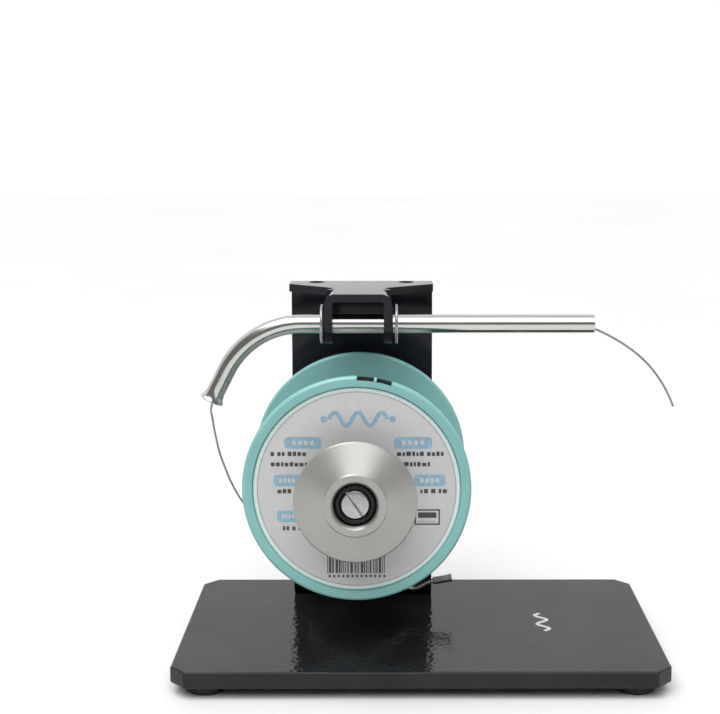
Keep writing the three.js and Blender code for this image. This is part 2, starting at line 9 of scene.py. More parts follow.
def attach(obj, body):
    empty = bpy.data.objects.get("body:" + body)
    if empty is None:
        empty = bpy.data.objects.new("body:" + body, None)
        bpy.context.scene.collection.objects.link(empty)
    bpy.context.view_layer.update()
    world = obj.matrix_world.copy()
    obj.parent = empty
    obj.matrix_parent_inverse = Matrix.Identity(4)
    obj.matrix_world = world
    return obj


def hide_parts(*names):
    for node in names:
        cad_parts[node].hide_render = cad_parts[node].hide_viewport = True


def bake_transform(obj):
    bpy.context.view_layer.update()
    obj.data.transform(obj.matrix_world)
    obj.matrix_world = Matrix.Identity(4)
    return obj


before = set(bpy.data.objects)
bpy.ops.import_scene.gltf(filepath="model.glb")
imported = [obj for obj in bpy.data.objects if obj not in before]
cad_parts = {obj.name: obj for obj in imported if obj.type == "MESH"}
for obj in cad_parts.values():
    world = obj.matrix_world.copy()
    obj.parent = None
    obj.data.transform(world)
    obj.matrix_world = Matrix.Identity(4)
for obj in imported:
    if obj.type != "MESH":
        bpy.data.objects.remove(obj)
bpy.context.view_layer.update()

MM = 0.001
rnd = random.Random(11)

# ------------------------------------------------------------------ sizes, as in the CAD source (mm)
BASE_TOP, BASE_W, BASE_Y0, BASE_Y1 = 10.1, 175.2, -42.05, 50.15
UPRIGHT_X, PLATE_Y0, SHEET = -21.9, 31.55, 2.9
EAR_MID, EAR_HALF, RING_LEFT_X, RING_RIGHT_X, RING_T, RING_R = UPRIGHT_X - 0.45, 12.2, -36.1, -9.0, 1.0, 7.2
AXLE_X, AXIS_Z, AXLE_R = -22.4, BASE_TOP + 61.4, 5.0
AXLE_Y0, STUD_R, PLATE_Y1 = -49.05, 3.0, PLATE_Y0 + SHEET
SPOOL_R, FLANGE_T, SPOOL_Y0, SPOOL_Y1 = 40.0, 3.0, -30.85, 18.35
BORE_R, CORE_R, WIND_R, LABEL_R, RECESS_R, RECESS = 11.0, 21.6, 27.6, 35.0, 36.4, 0.8
SEAT_FRONT, SEAT_REAR = 19.3, 12.3
CONE_FRONT_Y, CONE_REAR_Y = SPOOL_Y0 - SEAT_FRONT, SPOOL_Y1 + SEAT_REAR
TUBE_Y, TUBE_Z, TUBE_R, TUBE_BORE = -2.75, BASE_TOP + 115.4, 3.45, 2.65
TUBE_X1, BEND_X, BEND_R, BEND_ANGLE = 63.5, -42.65, 31.45, math.radians(63.4)
MOUTH_STRAIGHT, MOUTH_LEN = 12.15, 4.2
GROMMET_R, GROMMET_WALL, FIT, GAP = 6.0, 0.35, 0.25, 0.05
WIRE_R = 0.4
ARM_Y, ARM_R, PIVOT_X, PIVOT_Z = SPOOL_Y1 - 1.5, 0.8, -41.0, 22.5
PAD_X, PAD_Z = AXLE_X, AXIS_Z - SPOOL_R - 1.65

scene = bpy.context.scene
scene.view_settings.view_transform = "Standard"
scene.view_settings.look = "None"

# ------------------------------------------------------------------ camera
cam_data = bpy.data.cameras.new("camera")
cam_data.sensor_width = 36.0
cam_data.lens = 65.19
cam_data.shift_x, cam_data.shift_y = -0.0514, -0.12
cam_data.clip_start, cam_data.clip_end = 0.01, 30.0
camera = bpy.data.objects.new("camera", cam_data)
scene.collection.objects.link(camera)
camera.location = (-0.00933, -0.47242, 0.19956)
camera.rotation_euler = (math.radians(90 - 6.624), 0.0, math.radians(-0.126))
scene.camera = camera


# ------------------------------------------------------------------ mesh helpers (all take mm)
def make(name, verts, faces, mats, body=None, sharp=32.0, face_mats=None, smooth=True):
    me = bpy.data.meshes.new(name)
    me.from_pydata([(x * MM, y * MM, z * MM) for x, y, z in verts], [], faces)
    me.validate()
    for m in mats if isinstance(mats, (list, tuple)) else [mats]:
        me.materials.append(m)
    if face_mats:
        for p, k in zip(me.polygons, face_mats):
            p.material_index = k
    if smooth:
        me.polygons.foreach_set("use_smooth", [True] * len(me.polygons))
        me.set_sharp_from_angle(angle=math.radians(sharp))
    me.update()
    o = bpy.data.objects.new(name, me)
    scene.collection.objects.link(o)
    if body:
        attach(o, body)
    return o


def fillet(pts, r=0.2, steps=3, closed=True):
    """Rounds each corner of a polygon. r is one radius, or one per corner (0 keeps it)."""
    n, out = len(pts), []
    radii = [r] * n if not hasattr(r, "__len__") else list(r)
    for i, p in enumerate(pts):
        if radii[i] <= 0 or (not closed and i in (0, n - 1)):
            out.append(tuple(p))
            continue
        a, b, c = Vector(pts[i - 1]), Vector(p), Vector(pts[(i + 1) % n])
        u, v = (a - b), (c - b)
        lu, lv = u.length, v.length
        if lu < 1e-9 or lv < 1e-9:
            out.append(tuple(p))
            continue
        u, v = u / lu, v / lv
        ang = math.acos(max(-1, min(1, u.dot(v))))
        if ang > math.radians(172):
            out.append(tuple(p))
            continue
        t = min(radii[i] / math.tan(ang / 2), 0.48 * lu, 0.48 * lv)
        rr = t * math.tan(ang / 2)
        centre = b + (u + v).normalized() * (rr / math.sin(ang / 2))
        a0, a1 = b + u * t - centre, b + v * t - centre
        for k in range(steps + 1):
            f = k / steps
            w = a0.lerp(a1, f)
            w = w.normalized() * rr if w.length > 1e-9 else w
            out.append(tuple(centre + w))
    return out


def frame_of(d):
    d = Vector(d).normalized()
    ref = Vector((0, 0, 1)) if abs(d.z) < 0.9 else Vector((1, 0, 0))
    u = ref.cross(d).normalized()
    return u, d.cross(u).normalized(), d


def lathe(name, origin, axis, profile, mats, body=None, n=96, angles=None, warp=None, sharp=32.0, band_mats=None):
    """Turns a closed (radius, distance along the axis) outline about an axis. warp(r, s, angle) may move a point."""
    o = Vector(origin)
    u, v, d = frame_of(axis)
    angles = angles if angles is not None else [2 * math.pi * i / n for i in range(n)]
    n, m = len(angles), len(profile)
    verts, faces, fm = [], [], []
    for a in angles:
        c, s_ = math.cos(a), math.sin(a)
        for r, s in profile:
            if warp:
                r, s = warp(r, s, a)
            verts.append(o + u * (r * c) + v * (r * s_) + d * s)
    area = sum(profile[i][0] * profile[(i + 1) % m][1] - profile[(i + 1) % m][0] * profile[i][1] for i in range(m))
    for i in range(n):
        j = (i + 1) % n
        for k in range(m):
            l = (k + 1) % m
            q = (i * m + k, j * m + k, j * m + l, i * m + l)
            faces.append(q if area > 0 else q[::-1])
            fm.append(band_mats[k] if band_mats else 0)
    return make(name, verts, faces, mats, body, sharp, fm if band_mats else None)


def catmull(pts, per=10):
    """Centripetal Catmull-Rom through the points, as the CAD source's curves are."""
    P = [Vector(p) for p in pts]
    P = [P[0] * 2 - P[1]] + P + [P[-1] * 2 - P[-2]]
    out = []
    for i in range(1, len(P) - 2):
        p0, p1, p2, p3 = P[i - 1 : i + 3]
        t0 = 0.0
        t1 = t0 + max((p1 - p0).length, 1e-9) ** 0.5
        t2 = t1 + max((p2 - p1).length, 1e-9) ** 0.5
        t3 = t2 + max((p3 - p2).length, 1e-9) ** 0.5
        k = max(2, int(per)) if isinstance(per, int) else max(2, int(math.ceil((p2 - p1).length / per)))
        for j in range(k):
            t = t1 + (t2 - t1) * j / k
            a1 = p0 * ((t1 - t) / (t1 - t0)) + p1 * ((t - t0) / (t1 - t0))
            a2 = p1 * ((t2 - t) / (t2 - t1)) + p2 * ((t - t1) / (t2 - t1))
            a3 = p2 * ((t3 - t) / (t3 - t2)) + p3 * ((t - t2) / (t3 - t2))
            b1 = a1 * ((t2 - t) / (t2 - t0)) + a2 * ((t - t0) / (t2 - t0))
            b2 = a2 * ((t3 - t) / (t3 - t1)) + a3 * ((t - t1) / (t3 - t1))
            out.append(b1 * ((t2 - t) / (t2 - t1)) + b2 * ((t - t1) / (t2 - t1)))
    out.append(P[-2].copy())
    return out


def frames_along(pts):
    tang = [(pts[min(i + 1, len(pts) - 1)] - pts[max(i - 1, 0)]).normalized() for i in range(len(pts))]
    u, v, _ = frame_of(tang[0])
    out = [(u, v)]
    for i in range(1, len(pts)):
        q = tang[i - 1].rotation_difference(tang[i])
        u = (q @ out[-1][0]).normalized()
        u = (u - tang[i] * u.dot(tang[i])).normalized()
        out.append((u, tang[i].cross(u).normalized()))
    return out


def sweep(name, pts, radius, mats, body=None, sides=16, sharp=40.0):
    pts = [Vector(p) for p in pts]
    fr = frames_along(pts)
    verts, faces = [], []
    for i, p in enumerate(pts):
        r = radius(i) if callable(radius) else radius
        u, v = fr[i]
        for k in range(sides):
            a = 2 * math.pi * k / sides
            verts.append(p + u * (r * math.cos(a)) + v * (r * math.sin(a)))
    for i in range(len(pts) - 1):
        for k in range(sides):
            l = (k + 1) % sides
            faces.append((i * sides + k, i * sides + l, (i + 1) * sides + l, (i + 1) * sides + k))
    faces.append(tuple(reversed(range(sides))))
    faces.append(tuple((len(pts) - 1) * sides + k for k in range(sides)))
    return make(name, verts, faces, mats, body, sharp)


# ------------------------------------------------------------------ material helpers
class Mat:
    def __init__(self, name, color, roughness, metallic=0.0, **sockets):
        self.m = bpy.data.materials.new(name)
        self.m.use_nodes = True
        self.t = self.m.node_tree
        self.b = next(n for n in self.t.nodes if n.type == "BSDF_PRINCIPLED")
        self.b.inputs["Base Color"].default_value = (*color, 1)
        self.b.inputs["Roughness"].default_value = roughness
        self.b.inputs["Metallic"].default_value = metallic
        for k, v in sockets.items():
            self.b.inputs[k.replace("_", " ")].default_value = v
        self.m.diffuse_color = (*color, 1)

    def node(self, kind, **props):
        n = self.t.nodes.new(kind)
        for k, v in props.items():
            setattr(n, k, v)
        return n

    def link(self, a, b):
        self.t.links.new(a, b)

    def coords(self, scale=(1, 1, 1), at=(0, 0, 0), rot=(0, 0, 0)):
        tc, mp = self.node("ShaderNodeTexCoord"), self.node("ShaderNodeMapping", vector_type="TEXTURE")
        mp.inputs["Location"].default_value = [x * MM for x in at]
        mp.inputs["Rotation"].default_value = rot
        mp.inputs["Scale"].default_value = [1.0 / s for s in scale]
        self.link(tc.outputs["Object"], mp.inputs["Vector"])
        return mp.outputs["Vector"]

    def noise(self, scale, detail=3.0, rough=0.55, distortion=0.0, stretch=(1, 1, 1), at=(0, 0, 0), rot=(0, 0, 0)):
        n = self.node("ShaderNodeTexNoise")
        n.inputs["Scale"].default_value = scale
        n.inputs["Detail"].default_value = detail
        n.inputs["Roughness"].default_value = rough
        n.inputs["Distortion"].default_value = distortion
        self.link(self.coords(stretch, at, rot), n.inputs["Vector"])
        return n.outputs["Fac"]

    def cells(self, scale, smooth=1.0, at=(0, 0, 0)):
        n = self.node("ShaderNodeTexVoronoi", feature="SMOOTH_F1")
        n.inputs["Scale"].default_value = scale
        n.inputs["Smoothness"].default_value = smooth
        self.link(self.coords(at=at), n.inputs["Vector"])
        return n.outputs["Distance"]

    def rings(self, scale, at, direction="Y", distortion=0.0, detail=0.0):
        n = self.node("ShaderNodeTexWave", wave_type="RINGS", rings_direction=direction)
        n.inputs["Scale"].default_value = scale
        n.inputs["Distortion"].default_value = distortion
        n.inputs["Detail"].default_value = detail
        self.link(self.coords(at=at), n.inputs["Vector"])
        return n.outputs["Fac"]

    def bands(self, scale, direction="X", distortion=0.0):
        n = self.node("ShaderNodeTexWave", wave_type="BANDS", bands_direction=direction)
        n.inputs["Scale"].default_value = scale
        n.inputs["Distortion"].default_value = distortion
        self.link(self.coords(), n.inputs["Vector"])
        return n.outputs["Fac"]

    def remap(self, fac, lo, hi, a=0.3, b=0.7):
        n = self.node("ShaderNodeMapRange")
        for k, v in (("From Min", a), ("From Max", b), ("To Min", lo), ("To Max", hi)):
            n.inputs[k].default_value = v
        self.link(fac, n.inputs["Value"])
        return n.outputs["Result"]

    def add(self, a, b, op="ADD"):
        n = self.node("ShaderNodeMath", operation=op)
        for s, v in zip(n.inputs, (a, b)):
            if isinstance(v, (int, float)):
                s.default_value = v
            else:
                self.link(v, s)
        return n.outputs[0]

    def color(self, fac, c0, c1, a=0.35, b=0.65):
        n = self.node("ShaderNodeValToRGB")
        n.color_ramp.elements[0].position, n.color_ramp.elements[1].position = a, b
        n.color_ramp.elements[0].color, n.color_ramp.elements[1].color = (*c0, 1), (*c1, 1)
        self.link(fac, n.inputs["Fac"])
        self.link(n.outputs["Color"], self.b.inputs["Base Color"])
        return n.outputs["Color"]

    def blend_color(self, fac, base, c1):
        n = self.node("ShaderNodeMix", data_type="RGBA")
        self.link(fac, n.inputs["Factor"])
        self.link(base, n.inputs[6])
        n.inputs[7].default_value = (*c1, 1)
        self.link(n.outputs[2], self.b.inputs["Base Color"])
        return n.outputs[2]

    def rough(self, fac, lo, hi, a=0.3, b=0.7):
        self.link(self.remap(fac, lo, hi, a, b), self.b.inputs["Roughness"])

    def bump(self, height, strength, distance, below=None):
        n = self.node("ShaderNodeBump")
        n.inputs["Strength"].default_value = strength
        n.inputs["Distance"].default_value = distance * MM
        self.link(height, n.inputs["Height"])
        if below is not None:
            self.link(below, n.inputs["Normal"])
        self.link(n.outputs["Normal"], self.b.inputs["Normal"])
        return n.outputs["Normal"]


def base_coat():
    """Gloss textured powder coat: shallow millimetre ripples (orange peel) with a fine grain on them."""
    m = Mat("base_coat", (0.012, 0.012, 0.013), 0.11, IOR=1.34)
    m.color(m.noise(55, 4), (0.009, 0.009, 0.010), (0.015, 0.015, 0.016))
    m.rough(m.noise(300, 3), 0.07, 0.12)
    m.bump(m.add(m.cells(520, 0.5), m.add(m.noise(820, 2), 0.8, "MULTIPLY")), 0.7, 0.10)
    return m.m


def upright_coat():
    """The same paint, sprayed flatter: satin, with a small even grain."""
    m = Mat("upright_coat", (0.009, 0.009, 0.013), 0.11, IOR=1.5, Specular_IOR_Level=0.20)
    m.color(m.noise(45, 4), (0.0075, 0.0075, 0.0105), (0.0125, 0.0125, 0.017))
    m.rough(m.noise(300, 3), 0.08, 0.14)
    m.bump(m.noise(480, 2), 0.16, 0.05)
    return m.m


def rubber():
    m = Mat("rubber_black", (0.013, 0.013, 0.013), 0.62, Specular_IOR_Level=0.4)
    m.color(m.noise(160, 5), (0.007, 0.007, 0.007), (0.015, 0.0145, 0.014))
    m.rough(m.noise(420, 3), 0.46, 0.66)
    m.bump(m.noise(1000, 3), 0.18, 0.04)
    return m.m


def teal_plastic():
    """Injection-moulded polystyrene: faint radial flow, fine tool grain and soft concentric marks."""
    m = Mat("spool_teal", (0.163, 0.362, 0.352), 0.34, IOR=1.5, Coat_Weight=0.08, Coat_Roughness=0.25)
    m.color(m.noise(38, 4, distortion=0.6, stretch=(1, 0.4, 1)), (0.152, 0.348, 0.338), (0.177, 0.381, 0.371))
    m.rough(m.noise(210, 4), 0.29, 0.42)
    at = (AXLE_X, 0, AXIS_Z)
    m.bump(m.noise(900, 3), 0.06, 0.03, m.bump(m.rings(260, at, distortion=0.8, detail=2), 0.05, 0.02))
    return m.m


def label_stock():
    m = Mat("label_stock", (0.425, 0.425, 0.43), 0.42, Coat_Weight=0.12, Coat_Roughness=0.3)
    m.color(m.noise(900, 5, 0.65), (0.411, 0.410, 0.414), (0.444, 0.443, 0.447))
    m.rough(m.noise(120, 3), 0.36, 0.48)
    m.bump(m.noise(1000, 3), 0.04, 0.02, m.bump(m.noise(60, 2), 0.05, 0.15))
    return m.m


def ink(name, c, spread=0.12):
    m = Mat(name, c, 0.45)
    m.color(m.noise(1600, 3), tuple(x * (1 - spread) for x in c), tuple(min(1, x * (1 + spread) + 0.004) for x in c))
    m.rough(m.noise(500, 2), 0.38, 0.52)
    return m.m


def cone_plastic():
    """Silver-grey moulding with a satin sheen and faint turning marks round its axis."""
    m = Mat("cone_grey", (0.31, 0.307, 0.290), 0.32, 0.6, IOR=1.8)
    base = m.color(m.noise(70, 4), (0.299, 0.296, 0.279), (0.325, 0.322, 0.304))
    at = (AXLE_X, 0, AXIS_Z)
    m.rough(m.rings(150, at, distortion=0.2), 0.29, 0.31)
    # painted shade: the colour is darkened towards the mouth of the bore, out to about 8 mm from the axis, standing in
    # for the shade of the recess round the grip ring
    r = m.node("ShaderNodeVectorMath", operation="LENGTH")
    m.link(m.coords((1, 1e-3, 1), at), r.inputs[0])
    m.blend_color(m.remap(r.outputs["Value"], 1.0, 0.0, 7.2 * MM, 8.15 * MM), base, (0.012, 0.012, 0.011))
    return m.m


def acetal():
    m = Mat("bush_black", (0.006, 0.006, 0.006), 0.42, Specular_IOR_Level=0.3)
    m.color(m.noise(300, 3), (0.004, 0.004, 0.004), (0.009, 0.009, 0.009))
    m.rough(m.noise(600, 3), 0.34, 0.50)
    m.bump(m.noise(1000, 2), 0.06, 0.02)
    return m.m


def turned_steel(name="axle_steel", k=1.0):
    m = Mat(name, (0.47 * k, 0.47 * k, 0.46 * k), 0.26, 1.0)
    m.color(m.noise(260, 4), (0.42 * k, 0.42 * k, 0.41 * k), (0.52 * k, 0.52 * k, 0.51 * k))
    turning = m.add(m.rings(300, (AXLE_X, 0, AXIS_Z), distortion=0.4, detail=1), 0.35, "MULTIPLY")
    m.rough(m.add(turning, m.add(m.noise(500, 3, stretch=(1, 0.1, 1)), 0.65, "MULTIPLY")), 0.25, 0.36)
    return m.m


def bright_tube():
    """Polished drawn tube: fine streaks along its length and a few handling marks."""
    m = Mat("tube_steel", (0.60, 0.595, 0.57), 0.13, 1.0)
    m.color(m.noise(120, 3, stretch=(0.12, 1, 1)), (0.565, 0.56, 0.53), (0.635, 0.63, 0.61))
    streak = m.noise(1500, 3, stretch=(0.02, 1, 1))
    m.rough(streak, 0.09, 0.19)
    m.bump(m.noise(500, 4, 0.6), 0.02, 0.02, m.bump(streak, 0.035, 0.012))
    return m.m


def zinc():
    m = Mat("zinc_hardware", (0.38, 0.38, 0.39), 0.33, 1.0)
    m.color(m.noise(420, 4), (0.33, 0.33, 0.34), (0.44, 0.44, 0.445))
    m.rough(m.noise(700, 3), 0.26, 0.42)
    m.bump(m.noise(1000, 3), 0.08, 0.02)
    return m.m


def spring_steel():
    m = Mat("spring_steel", (0.46, 0.455, 0.44), 0.28, 1.0)
    m.color(m.noise(300, 4), (0.38, 0.375, 0.36), (0.54, 0.535, 0.52))
    m.rough(m.noise(1400, 3), 0.20, 0.40)
    m.bump(m.noise(3000, 2), 0.10, 0.01)
    return m.m


def solder(name="solder_alloy", dark=1.0):
    m = Mat(name, (0.56 * dark, 0.56 * dark, 0.555 * dark), 0.34, 1.0)
    m.color(m.noise(500, 4), tuple(x * dark for x in (0.49, 0.49, 0.485)), tuple(x * dark for x in (0.64, 0.64, 0.635)))
    m.rough(m.noise(1500, 3), 0.26, 0.46)
    m.bump(m.noise(3200, 2), 0.10, 0.01)
    return m.m


def floor_paint():
    m = Mat("floor_paint", (0.57, 0.57, 0.566), 0.65)
    m.color(m.noise(3, 3), (0.56, 0.56, 0.556), (0.58, 0.58, 0.576))
    m.rough(m.noise(20, 3), 0.6, 0.7)
    return m.m


BASE, UPRIGHT, RUBBER, TEAL, LABEL = base_coat(), upright_coat(), rubber(), teal_plastic(), label_stock()
CONE, BLACK, AXLE, TUBE, ZINC, SPRING, SOLDER = cone_plastic(), acetal(), turned_steel(), bright_tube(), zinc(), spring_steel(), solder()
# a darker copy of the axle steel for the slotted end's chamfer: painted shade
AXLE_CHAMFER_SHADE = turned_steel("axle_steel_chamfer_painted_shade", 0.45)
SOLDER_WIRE = solder("solder_wire_alloy", 0.66)
# the last ink here, a pale teal, is not print: it is a painted highlight for the lip of the flange's label recess
INK_BLUE, INK_BLACK, INK_GREY, INK_PALE, INK_LIP_HIGHLIGHT = (
    ink("ink_blue", (0.205, 0.325, 0.415)), ink("ink_black", (0.035, 0.035, 0.038)), ink("ink_grey", (0.30, 0.30, 0.30)), ink("ink_pale", (0.42, 0.42, 0.42)),
    ink("recess_lip_painted_highlight", (0.50, 0.60, 0.58), 0.05))


# ------------------------------------------------------------------ the solder wire, one cord from the winding to its free end
def guide_point(d, cut_end=0.0):
    """A point of the guide tube's axis, d mm from its open right end."""
    a, b = TUBE_X1 - BEND_X, BEND_R * BEND_ANGLE
    if d <= a:
        return Vector((TUBE_X1 - d, TUBE_Y, TUBE_Z))
    q, e = min((d - a) / BEND_R, BEND_ANGLE), max(0.0, d - a - b)
    return Vector((
        BEND_X - BEND_R * math.sin(q) - e * math.cos(BEND_ANGLE), TUBE_Y,
        TUBE_Z - BEND_R * (1 - math.cos(q)) - e * math.sin(BEND_ANGLE)))


TUBE_LEN = (TUBE_X1 - BEND_X) + BEND_R * BEND_ANGLE + MOUTH_STRAIGHT
wire_r0, wire_t0 = WIND_R + 0.3 + WIRE_R, math.radians(258)
route = [(AXLE_X + wire_r0 * math.cos(wire_t0), -6.0, AXIS_Z + wire_r0 * math.sin(wire_t0))]
route += [(x, y, BASE_TOP + h) for x, y, h in (
    (-37.0, -5.8, 35.3), (-44.5, -5.5, 36.5), (-51.5, -5.1, 38.4), (-57.5, -4.7, 41.3), (-62.3, -4.4, 45.6), (-66.1, -4.1, 50.4),
    (-69.4, -3.8, 56.4), (-71.8, -3.5, 62.3), (-73.8, -3.2, 68.3), (-75.1, -3.0, 74.3), (-76.1, -2.85, 80.2), (-76.5, -2.78, 84.1))]
for i in range(28, -1, -1):
    p = guide_point(TUBE_LEN * i / 30)
    route.append((p.x, TUBE_Y, p.z - 1.95 * min(1, max(0, (p.x - BEND_X) / 40))))
route += [(x, TUBE_Y, BASE_TOP + h) for x, h in (
    (64.8, 113.1), (67.0, 112.05), (69.3, 110.9), (71.5, 109.7), (73.75, 108.3), (76.0, 106.8), (78.25, 105.15), (80.5, 103.3),
    (82.75, 101.2), (85.0, 98.7), (87.2, 95.85), (89.5, 92.3), (91.7, 88.0), (93.1, 84.7))]
wire_path = catmull(route, per=0.7)
wire = sweep("solder_wire_visual", wire_path, WIRE_R, SOLDER_WIRE, sides=12)
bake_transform(wire)
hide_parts("solder_wire")

# ------------------------------------------------------------------ spool
SPOOL_AXIS = (AXLE_X, 0, AXIS_Z)
NOTCHES = [(4.6, 4.4), (14.2, 4.0)]  # degrees clockwise from the top, half width
flange_profile = fillet(
    [(BORE_R, 0.0), (13.4, 0.0), (13.6, RECESS), (RECESS_R - 0.2, RECESS), (RECESS_R + 0.1, 0.0), (39.2, 0.0), (SPOOL_R, 0.75),
     (SPOOL_R, 2.25), (39.3, FLANGE_T), (22.6, FLANGE_T), (22.6, FLANGE_T - 0.9), (BORE_R, FLANGE_T - 0.9)],
    [0.15, 0.12, 0.08, 0.08, 0.16, 0.55, 0.5, 0.5, 0.45, 0.08, 0.08, 0.15], steps=4)


def angle_of(a_clockwise_from_top):
    # frame_of(+Y) has u = -X and v = +Z, so the top is at 90 degrees, and going clockwise (seen from the front) adds
    return math.radians(90 + a_clockwise_from_top)


rim_angles = set(round(2 * math.pi * i / 240, 6) for i in range(240))
for c, h in NOTCHES:
    for e in (c - h, c + h):
        for de in (-0.06, 0.06):
            rim_angles.add(round(angle_of(e + de) % (2 * math.pi), 6))
rim_angles = sorted(rim_angles)


def notch(r, s, a):
    deg = (math.degrees(a) - 90 + 180) % 360 - 180
    for c, h in NOTCHES:
        if abs(deg - c) < h and r > 38.5:
            return 38.5 + (r - 38.5) * 0.02, s
    return r, s


front_flange = lathe("spool_flange_front_visual", (AXLE_X, SPOOL_Y0, AXIS_Z), (0, 1, 0), flange_profile, TEAL, "spool_rotor", angles=rim_angles, warp=notch, sharp=38)
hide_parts("spool_flange_front")
rear_flange = lathe("spool_flange_rear_visual", (AXLE_X, SPOOL_Y1, AXIS_Z), (0, -1, 0), flange_profile, TEAL, "spool_rotor", n=240, sharp=38)
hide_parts("spool_flange_rear")

# Black blocks fill the two rim slots: painted shadow standing in for the shaded depth of the slots.
for tag, (c, h) in zip("ab", NOTCHES):
    pv, pf = [], []
    for i in range(9):
        a = math.radians(c - h + 0.25 + (2 * h - 0.5) * i / 8)
        for r, yy in ((38.35, 0.9), (39.55, 0.9), (39.55, 2.75), (38.35, 2.75)):
            pv.append((AXLE_X + r * math.sin(a), SPOOL_Y0 + yy, AXIS_Z + r * math.cos(a)))
    for i in range(8):
        for k in range(4):
            l = (k + 1) % 4
            pf.append((4 * i + k, 4 * i + l, 4 * i + 4 + l, 4 * i + 4 + k))
    pf += [(3, 2, 1, 0), (32, 33, 34, 35)]
    slot_shadow_block = make("rim_slot_painted_shadow_" + tag, pv, pf, BLACK, "spool_rotor")

# The face label: a thin ring of film, with its print as flat ink shapes a few hundredths proud.
LABEL_Y = SPOOL_Y0 + RECESS - 0.2
label = lathe("spool_label_visual", (AXLE_X, LABEL_Y, AXIS_Z), (0, 1, 0),
              fillet([(14.2, 0), (LABEL_R, 0), (LABEL_R, 0.17), (14.2, 0.17)], 0.04, 2), LABEL, "spool_rotor", n=192)
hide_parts("spool_label")

ink_v, ink_f, ink_m = [], [], []
INKS = [INK_BLUE, INK_BLACK, INK_GREY, LABEL, INK_LIP_HIGHLIGHT]


def ink_poly(pts, k, lift=0.02):
    """A flat printed shape on the label, from (x, z) points about the spool's axis, anticlockwise seen from the front."""
    area = sum(pts[i][0] * pts[(i + 1) % len(pts)][1] - pts[(i + 1) % len(pts)][0] * pts[i][1] for i in range(len(pts)))
    pts = pts if area > 0 else pts[::-1]
    n, b = len(pts), len(ink_v)
    for y in (LABEL_Y - lift, LABEL_Y + 0.05):
        ink_v.extend((AXLE_X + x, y, AXIS_Z + z) for x, z in pts)
    ink_f.append(tuple(b + i for i in range(n)))
    ink_f.append(tuple(b + n + i for i in reversed(range(n))))
    ink_f.extend((b + i, b + n + i, b + n + (i + 1) % n, b + (i + 1) % n) for i in range(n))
    ink_m.extend([k] * (n + 2))


def pill(x, z, w, h, k, r=None, lift=0.02):
    r = h * 0.42 if r is None else r
    pts = fillet([(x - w / 2, z - h / 2), (x + w / 2, z - h / 2), (x + w / 2, z + h / 2), (x - w / 2, z + h / 2)], r, 5)
    ink_poly(pts, k, lift)


def hoop(x, z, r, w, k, n=48, lift=0.02, a0=0.0, a1=360.0):
    full = a1 - a0 >= 359.9
    b, m = len(ink_v), n if full else n + 1
    for y in (LABEL_Y - lift, LABEL_Y + 0.05):
        for rr in (r - w / 2, r + w / 2):
            for i in range(m):
                a = math.radians(a0 + (a1 - a0) * i / n)
                ink_v.append((AXLE_X + x + rr * math.cos(a), y, AXIS_Z + z + rr * math.sin(a)))
    I = lambda layer, ringi, i: b + layer * 2 * m + ringi * m + i % m
    for i in range(n):
        j = i + 1
        ink_f.append((I(0, 0, i), I(0, 1, i), I(0, 1, j), I(0, 0, j)))
        ink_f.append((I(1, 0, i), I(1, 0, j), I(1, 1, j), I(1, 1, i)))
        ink_f.append((I(0, 1, i), I(1, 1, i), I(1, 1, j), I(0, 1, j)))
        ink_f.append((I(0, 0, i), I(0, 0, j), I(1, 0, j), I(1, 0, i)))
        ink_m.extend([k] * 4)
    if not full:
        for i in (0, n):
            q = (I(0, 0, i), I(1, 0, i), I(1, 1, i), I(0, 1, i))
            ink_f.append(q if i == 0 else q[::-1])
            ink_m.append(k)


def greek(x0, x1, z, k=1, h=1.55):
    """A line of placeholder print: short plain bars of uneven length and weight."""
    x = x0
    while x < x1 - 0.5:
        w = min(rnd.uniform(0.75, 1.7), x1 - x)
        hh = h * rnd.choice((1.0, 0.82, 0.92))
        pill(x + w / 2, z - (h - hh) / 2, w, hh, k, 0.2)
        x += w + rnd.choice((0.42, 0.42, 0.5, 1.1))


def ribbon(pts, w, k, lift=0.02):
    """A stroke of even width along a line of (x, z) points."""
    n, b = len(pts), len(ink_v)
    left, right = [], []
    for i, (px, pz) in enumerate(pts):
        qx = pts[min(i + 1, n - 1)][0] - pts[max(i - 1, 0)][0]
        qz = pts[min(i + 1, n - 1)][1] - pts[max(i - 1, 0)][1]
        q = math.hypot(qx, qz)
        left.append((px - qz / q * w / 2, pz + qx / q * w / 2))
        right.append((px + qz / q * w / 2, pz - qx / q * w / 2))
    for yy in (LABEL_Y - lift, LABEL_Y + 0.05):
        for row in (left, right):
            ink_v.extend((AXLE_X + px, yy, AXIS_Z + pz) for px, pz in row)
    fl, fr, bl, br = (b + n * q for q in range(4))
    for i in range(n - 1):
        ink_f.extend([(fr + i, fr + i + 1, fl + i + 1, fl + i), (bl + i, bl + i + 1, br + i + 1, br + i),
                      (fl + i, fl + i + 1, bl + i + 1, bl + i), (br + i, br + i + 1, fr + i + 1, fr + i)])
        ink_m.extend([k] * 4)
    for i in (0, n - 1):
        q = (fl + i, bl + i, br + i, fr + i)
        ink_f.append(q if i == 0 else q[::-1])
        ink_m.append(k)


# a plain wavy stroke across the top, like a bent length of wire, with a dot at each end
ribbon([(-9.6 + 20.4 * i / 120, 25.0 + 2.35 * math.sin(2 * math.pi * 2.5 * i / 120)) for i in range(121)], 1.4, 0)
pill(-11.3, 25.0, 2.3, 2.3, 0, 1.1)
pill(12.5, 25.0, 2.3, 2.3, 0, 1.1)
